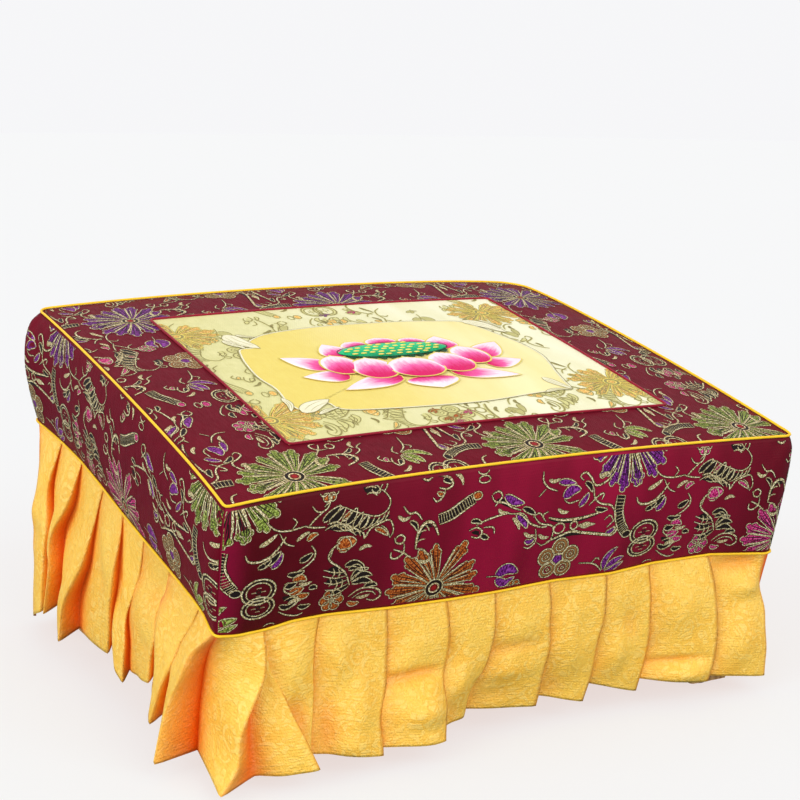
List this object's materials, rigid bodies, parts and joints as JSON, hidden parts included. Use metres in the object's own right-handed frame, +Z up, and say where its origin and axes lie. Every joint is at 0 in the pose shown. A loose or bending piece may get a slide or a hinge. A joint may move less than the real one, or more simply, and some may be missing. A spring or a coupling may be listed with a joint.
{
  "type": "kneeling prayer bench",
  "caption": "Low kneeling bench with a sloped foam pad under a brocade slip cover: embroidered lotus panel, piped edges and a knife pleated satin skirt over a tenoned wooden frame.",
  "frame": {"origin": "on the floor, under the middle of the skirt", "axes": "+Z up, +X to the right of someone who faces the bench, -Y towards the low front edge"},
  "size_m": [0.6498, 0.561, 0.3648],
  "materials": {
    "wood": "oiled",
    "glide": "moulded",
    "steel": "zinc plated",
    "brocade": "satin brocade",
    "gold_satin": "satin",
    "foam": "open cell foam",
    "lining": "plain weave",
    "cream_brocade": "satin brocade",
    "pale_satin": "satin",
    "crimson_cord": "cord",
    "petal_silk": "satin stitch",
    "pod_silk": "satin stitch",
    "piping": "satin cord"
  },
  "bodies": {
    "bench": {"leg_front_left": "wood", "leg_front_right": "wood", "leg_rear_left": "wood", "leg_rear_right": "wood", "apron_front": "wood", "apron_rear": "wood", "apron_left": "wood", "apron_right": "wood", "stretcher_left": "wood", "stretcher_right": "wood", "stretcher_cross": "wood", "seat_bearer": "wood", "seat_plank_1": "wood", "seat_plank_2": "wood", "seat_plank_3": "wood", "seat_plank_4": "wood", "seat_plank_5": "wood", "corner_block_front_left": "wood", "corner_block_front_right": "wood", "corner_block_rear_left": "wood", "corner_block_rear_right": "wood", "foot_glide_front_left": "glide", "foot_glide_front_right": "glide", "foot_glide_rear_left": "glide", "foot_glide_rear_right": "glide", "plank_screws": "steel", "bearer_screws": "steel", "block_screws": "steel", "glide_nails": "steel"},
    "cushion": {"foam_pad": "foam", "cushion_lining": "lining", "cover_top": "brocade", "panel_border": "cream_brocade", "lotus_ground": "pale_satin", "panel_trim": "crimson_cord", "lotus_petals": "petal_silk", "lotus_pod": "pod_silk", "band_front": "brocade", "band_rear": "brocade", "band_left": "brocade", "band_right": "brocade", "top_piping": "piping", "bottom_piping": "piping", "skirt_front": "gold_satin", "skirt_rear": "gold_satin", "skirt_left": "gold_satin", "skirt_right": "gold_satin"}
  },
  "joints": [
    {"name": "cushion_lift", "type": "slide", "parent": "bench", "child": "cushion", "axis": [0, 0, 1], "range_m": [0, 0.33]}
  ]
}
